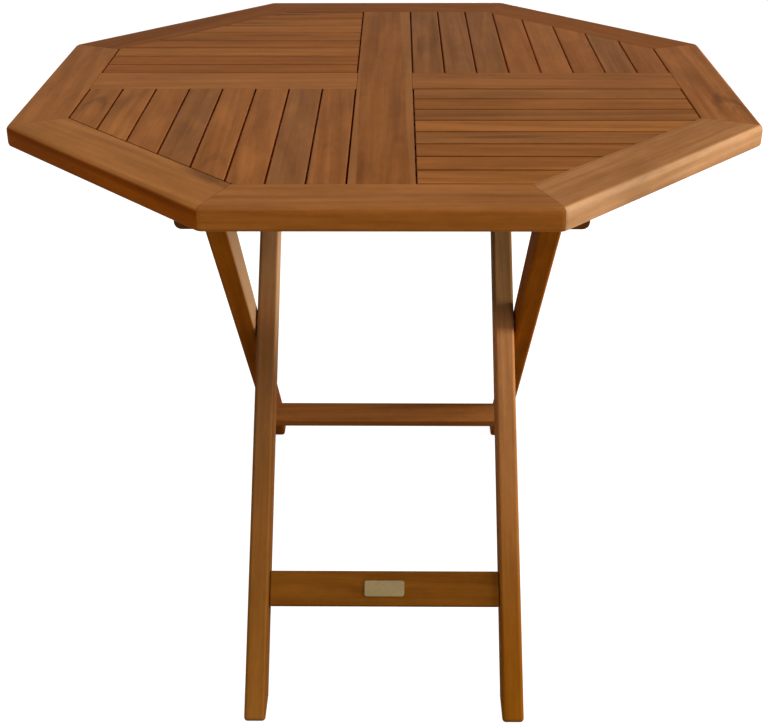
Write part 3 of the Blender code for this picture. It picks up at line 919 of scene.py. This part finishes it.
def board_look(node):
    """What sets one board's figure apart from another's."""
    draw = random.Random(f"teak {node}")
    look = {
        "seed": draw.uniform(1, 60),
        "pith_side": draw.choice((-1, 1)) * draw.uniform(0.015, 0.120),
        "pith_depth": -draw.uniform(0.020, 0.110),
        "waviness": draw.uniform(0.012, 0.030),
        "taper": draw.choice((-1, 1)) * draw.uniform(0.010, 0.050),
        "ring_spacing": draw.uniform(0.0090, 0.0180),
        "contrast": draw.uniform(0.22, 0.42),
        "streaks": draw.uniform(0.10, 0.45),
        "haze": draw.uniform(0.10, 0.35),
        "mottle": draw.uniform(0.35, 0.65),
        "lines": BOLD_LINE_AMOUNT if node == "rim_front_right" else LINE_AMOUNT,
        "figures": FIGURES.get(node, ()),
        "painted_side_light": SIDE_PAINTED_LIGHTS.get(node, SIDE_PAINTED_LIGHT),
        "side_facing": SIDE_FACINGS.get(node, SIDE_FACING),
        "painted_edge_light": EDGE_PAINTED_LIGHTS.get(node),
        "right_side_highlight": RIGHT_SIDE_HIGHLIGHTS.get(node),
        "strips": (),
        "gloss": DRY_GLOSS if node.startswith(("outer_", "inner_")) else TOP_GLOSS,
        "high": HIGH_PAINTED_LIGHTS.get(node),
        "damp_and_shade": DAMP_AND_SHADE_TINTS.get(node),
        "gaps": node.startswith(("slat_", "rim_", "cross_rail", "centre_board")),
        "rim": node.startswith("rim_"),
    }
    choices = BACK_SLAT_TONES if node.startswith("slat_back_right") else SLAT_TONES
    look["pale"] = TONES[BOARD_TONES.get(node) or draw.choice(choices)]
    if node.startswith(CROSSWISE) or "rim_back" in node:
        look["pale"] = [value * share for value, share in zip(look["pale"], CROSS_TINT)]
    if node == "centre_board":
        low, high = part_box(node)
        length = high.y - low.y
        look["strips"] = [(side, CENTRE_HALF, *widths, length) for side, widths in STRIP_WIDTHS.items()]
    return look


def metal_material(name):
    """A dull metal with fine scratches and darker tarnished spots."""
    colour, roughness, tarnish, spotted = METALS[name]
    material, tree, shader = new_material(name)
    coordinates = add_node(tree, "ShaderNodeTexCoord").outputs["Object"]
    scratches = stretched_noise(tree, coordinates, *SCRATCHES)
    spots = remap(tree, stretched_noise(tree, coordinates, *SPOTS), *SPOT_RANGE)
    shade = calculate(tree, "MULTIPLY_ADD", scratches, SCRATCH_SHADE, 1 - SCRATCH_SHADE / 2)
    tinted = shaded(tree, (*colour, 1), shade)
    tinted = mix_colour(tree, calculate(tree, "MULTIPLY", spots, spotted), tinted, (*tarnish, 1))
    tree.links.new(tinted, shader.inputs["Base Color"])
    least = roughness - SCRATCH_ROUGHNESS / 2
    rough = calculate(tree, "MULTIPLY_ADD", scratches, SCRATCH_ROUGHNESS, least)
    rough = calculate(tree, "MULTIPLY_ADD", spots, SPOT_ROUGHNESS, rough)
    tree.links.new(rough, shader.inputs["Roughness"])
    shader.inputs["Metallic"].default_value = 1.0
    add_relief(tree, shader, scratches, *METAL_RELIEF)
    return material


def turned(profile, sides):
    """A closed solid turned about X from (x, radius) points, whose ends lie on the axis."""
    bm = bmesh.new()
    rings = []
    for x, radius in profile:
        turns = sides if radius > 0 else 1
        angles = [2 * math.pi * k / turns for k in range(turns)]
        rings.append([bm.verts.new((x, radius * math.cos(a), radius * math.sin(a))) for a in angles])
    for near, far in zip(rings, rings[1:]):
        for k in range(sides):
            corners = [near[k % len(near)], near[(k + 1) % len(near)]]
            corners += [far[(k + 1) % len(far)], far[k % len(far)]]
            bm.faces.new(list(dict.fromkeys(corners)))
    bmesh.ops.recalc_face_normals(bm, faces=bm.faces)
    return bm


def finish_metal(piece, body, material):
    for face in piece.data.polygons:
        face.use_smooth = True
    piece.data.set_sharp_from_angle(angle=SHARP_ANGLE)
    piece.data.materials.append(material)
    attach(piece, body)


def add_bolt(node, body, material):
    """A bolt with a domed head and a hexagonal socket, in place of its plain solid."""
    low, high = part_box(node)
    middle = (low + high) / 2
    sign = math.copysign(1, middle.x)
    length = high.x - low.x
    head_radius = (high.y - low.y) / 2
    head = length - HEAD_HEIGHT
    profile = [(0, 0), (0, SHANK_RADIUS - HEAD_EASE), (HEAD_EASE, SHANK_RADIUS), (head, SHANK_RADIUS)]
    profile += [(head, head_radius - HEAD_EASE / 2), (head + HEAD_EASE / 2, head_radius)]
    for k in range(DOME_STEPS + 1):
        angle = math.pi / 2 * k / DOME_STEPS
        out = DOME_FLAT + (head_radius - DOME_FLAT) * math.cos(angle)
        profile.append((head + HEAD_RIM + (HEAD_HEIGHT - HEAD_RIM) * math.sin(angle), out))
    profile.append((length, 0))
    bm = turned(profile, TURNED_SIDES)
    place = Matrix.Translation(middle) @ Matrix.Rotation(0 if sign > 0 else math.pi, 4, "Z")
    place = place @ Matrix.Translation((-length / 2, 0, 0))
    bmesh.ops.transform(bm, matrix=place, verts=bm.verts)
    bolt = add_object(f"{node}_turned", bm)
    socket = bmesh.new()
    spot = place @ Matrix.Translation((length, 0, 0)) @ Matrix.Rotation(math.pi / 2, 4, "Y")
    bmesh.ops.create_cone(socket, cap_ends=True, segments=6, radius1=SOCKET_RADIUS, radius2=SOCKET_RADIUS,
                          depth=2 * SOCKET_DEPTH, matrix=spot)
    cutter = add_object("socket_cutter", socket)
    add_boolean(bolt, cutter)
    apply_modifiers(bolt)
    remove_object(cutter)
    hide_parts(node)
    finish_metal(bolt, body, material)


def screw_head():
    """A countersunk screw's head with a cross recess. Its face looks down, about the origin."""
    profile = [(-SCREW_PROUD, 0), (-SCREW_PROUD, SCREW_RADIUS * SCREW_FLAT)]
    profile += [(-SCREW_PROUD / 2, SCREW_RADIUS * SCREW_SHOULDER), (0, SCREW_RADIUS)]
    profile += [(SCREW_RADIUS / 2, SCREW_RADIUS / 2), (SCREW_RADIUS / 2, 0)]
    bm = turned(profile, TURNED_SIDES)
    down = Matrix.Rotation(-math.pi / 2, 4, "Y")
    bmesh.ops.transform(bm, matrix=down, verts=bm.verts)
    head = add_object("screw_head", bm)
    length, width, depth = SCREW_RECESS
    for size in ((length, width, depth), (width, length, depth)):
        bm = bmesh.new()
        turn = Matrix.Diagonal([SCREW_RADIUS * s for s in size] + [1])
        bmesh.ops.create_cube(bm, size=1.0, matrix=turn)
        cutter = add_object("recess_cutter", bm)
        add_boolean(head, cutter)
        apply_modifiers(head)
        remove_object(cutter)
    return head


def add_screws(name, places, material):
    """Screw heads at (x, y, z) places on the underside of a board of the top."""
    pattern = screw_head()
    bm = bmesh.new()
    for x, y, z in places:
        count = len(bm.verts)
        bm.from_mesh(pattern.data)
        bm.verts.ensure_lookup_table()
        turn = Matrix.Rotation(SCREW_TURN * (count + 1), 4, "Z")
        bmesh.ops.transform(bm, matrix=Matrix.Translation((x, y, z)) @ turn, verts=bm.verts[count:])
    remove_object(pattern)
    finish_metal(add_object(name, bm), "tabletop", material)


def add_fasteners(material):
    """The screws that hold the battens, the cleats and the catch rail under the top."""
    for node in ("batten_front", "batten_back"):
        low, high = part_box(node)
        places = [(share * low.x, (low.y + high.y) / 2 + step, low.z)
                  for share in BATTEN_SCREWS for step in (-BATTEN_SCREW_STEP, BATTEN_SCREW_STEP)]
        add_screws(f"{node}_screws", places, material)
    for node in ("hinge_cleat_left", "hinge_cleat_right"):
        low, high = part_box(node)
        face = high.z - CLEAT_DEPTH
        places = [((low.x + high.x) / 2, share * high.y, face) for share in CLEAT_SCREWS]
        add_screws(f"{node}_screws", places, material)
    low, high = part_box("catch_rail")
    places = [(share * high.x, y, low.z) for share in CATCH_SCREWS
              for y in (low.y + CATCH_SCREW_EDGE, high.y - CATCH_SCREW_EDGE)]
    add_screws("catch_rail_screws", places, material)


def add_plate(material):
    """The bare plate on the inner rail, with eased edges."""
    bm = whole_faces("name_plate")
    widest = add_ease(bm, lambda edge: PLATE_EASE)
    plate = add_object("name_plate_eased", bm)
    bevel = plate.modifiers.new("ease", "BEVEL")
    bevel.limit_method = "WEIGHT"
    bevel.width = widest
    bevel.segments = EASE_SEGMENTS
    apply_modifiers(plate)
    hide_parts("name_plate")
    finish_metal(plate, "inner_frame", material)


def add_camera():
    camera = bpy.data.objects.new("camera", bpy.data.cameras.new("camera"))
    bpy.context.scene.collection.objects.link(camera)
    data = camera.data
    data.sensor_fit = "HORIZONTAL"
    data.sensor_width = SENSOR_WIDTH
    data.lens = FOCAL_PIXELS / IMAGE_WIDTH * SENSOR_WIDTH
    data.shift_x = (IMAGE_WIDTH / 2 - AXIS_X) / IMAGE_WIDTH
    data.shift_y = (AXIS_Y - IMAGE_HEIGHT / 2) / IMAGE_WIDTH
    data.clip_start = CLIP_START
    yaw = Matrix.Rotation(CAMERA_YAW, 4, "Z")
    tilt = Matrix.Rotation(math.pi / 2 - CAMERA_PITCH, 4, "X")
    roll = Matrix.Rotation(CAMERA_ROLL, 4, "Z")
    camera.matrix_world = Matrix.Translation(CAMERA_PLACE) @ yaw @ tilt @ roll
    bpy.context.scene.camera = camera


def seen_directly(tree):
    """1 for rays from the camera, a mirror or a glass, and 0 for the light that falls on things."""
    path = add_node(tree, "ShaderNodeLightPath")
    seen = calculate(tree, "MAXIMUM", path.outputs["Is Camera Ray"], path.outputs["Is Glossy Ray"])
    return calculate(tree, "MAXIMUM", seen, path.outputs["Is Transmission Ray"])


def add_floor():
    """A white floor that still shows the table's soft shadow."""
    bm = bmesh.new()
    bmesh.ops.create_grid(bm, x_segments=1, y_segments=1, size=FLOOR_REACH)
    floor = add_object("floor", bm)
    floor.location.z = -FLOOR_DROP
    material, tree, shader = new_material("floor_white")
    tree.nodes.remove(shader)
    lighting = add_node(tree, "ShaderNodeBsdfDiffuse", {"Color": FLOOR_BOUNCE})
    shadowed = add_node(tree, "ShaderNodeBsdfDiffuse", {"Color": FLOOR_SHADED})
    glow = add_node(tree, "ShaderNodeEmission", {"Color": (1, 1, 1, 1), "Strength": FLOOR_GLOW})
    shown = add_node(tree, "ShaderNodeAddShader", {0: shadowed.outputs[0], 1: glow.outputs[0]})
    inputs = {0: seen_directly(tree), 1: lighting.outputs[0], 2: shown.outputs[0]}
    mixed = add_node(tree, "ShaderNodeMixShader", inputs)
    tree.links.new(mixed.outputs[0], tree.nodes["Material Output"].inputs["Surface"])
    floor.data.materials.append(material)


def add_world():
    world = bpy.data.worlds.new("studio")
    bpy.context.scene.world = world
    world.use_nodes = True
    tree = world.node_tree
    background = tree.nodes["Background"]
    ambient = (*AMBIENT, 1.0)
    tree.links.new(mix_colour(tree, seen_directly(tree), ambient, (1, 1, 1, 1)), background.inputs["Color"])


def add_lamp(name, place, target, size, power):
    lamp = bpy.data.objects.new(name, bpy.data.lights.new(name, "AREA"))
    bpy.context.scene.collection.objects.link(lamp)
    lamp.data.shape = "DISK"
    lamp.data.size = size
    lamp.data.energy = power
    lamp.location = place
    lamp.rotation_euler = (Vector(target) - Vector(place)).to_track_quat("-Z", "Y").to_euler()


def main():
    bpy.context.scene.view_settings.view_transform = "Standard"
    add_camera()
    add_floor()
    add_world()
    for name, lamp in LAMPS.items():
        add_lamp(name, *lamp)
    brass = metal_material("brass")
    bronze = metal_material("plate")
    for body, nodes in frame["record"]["behaviour"]["bodies"].items():
        for node in nodes:
            if "_bolt_" in node:
                add_bolt(node, body, brass)
            elif node != "name_plate":
                add_board(node, body)
    add_plate(bronze)
    add_fasteners(brass)


main()
